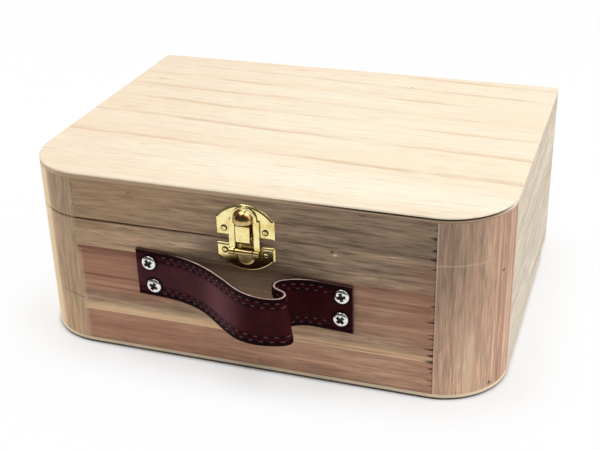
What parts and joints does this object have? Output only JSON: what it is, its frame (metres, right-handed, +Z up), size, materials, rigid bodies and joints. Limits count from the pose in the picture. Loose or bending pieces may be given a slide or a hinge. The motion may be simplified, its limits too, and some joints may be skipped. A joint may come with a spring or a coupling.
{
  "type": "wooden case",
  "caption": "Hinged wooden case with rounded front corners, thin glued top and bottom panels, a brass snap clasp and a stitched leather strap handle on the front.",
  "frame": {"origin": "centre of the underside of the wooden case, on the surface it stands on", "axes": "+Z up, +X to the right seen from the front, +Y from the clasp and handle side to the hinged back"},
  "size_m": [0.22, 0.191, 0.087],
  "materials": {
    "panel_wood": "raw, sanded",
    "board_wood": "raw, sanded",
    "block_wood": "raw, sanded",
    "brass": "polished plate",
    "nickel": "nickel plate",
    "strap_leather": "smooth, satin",
    "lining_leather": "smooth, matt"
  },
  "bodies": {
    "base": {"bottom_panel": "panel_wood", "base_front_board": "board_wood", "base_back_board": "board_wood", "base_left_board": "board_wood", "base_right_board": "board_wood", "base_left_corner_block": "block_wood", "base_right_corner_block": "block_wood", "left_hinge_base_leaf": "brass", "right_hinge_base_leaf": "brass", "left_hinge_pin": "brass", "right_hinge_pin": "brass", "hinge_base_nails": "brass", "clasp_lower_plate": "brass", "clasp_pin": "brass", "clasp_lower_nails": "brass", "handle_strap_face": "strap_leather", "handle_strap_lining": "lining_leather", "strap_screws": "nickel"},
    "lid": {"top_panel": "panel_wood", "lid_front_board": "board_wood", "lid_back_board": "board_wood", "lid_left_board": "board_wood", "lid_right_board": "board_wood", "lid_left_corner_block": "block_wood", "lid_right_corner_block": "block_wood", "left_hinge_lid_leaf": "brass", "right_hinge_lid_leaf": "brass", "hinge_lid_nails": "brass", "clasp_upper_plate": "brass", "clasp_upper_nails": "brass"},
    "hasp": {"clasp_hasp": "brass"}
  },
  "joints": [
    {"name": "lid_hinge", "type": "hinge", "parent": "base", "child": "lid", "pos_m": [0, 0.0841, 0.065], "axis": [-1, 0, 0], "range_deg": [0, 180]},
    {"name": "hasp_swing", "type": "hinge", "parent": "base", "child": "hasp", "pos_m": [0, -0.08535, 0.0608], "axis": [1, 0, 0], "range_deg": [0, 100]}
  ]
}
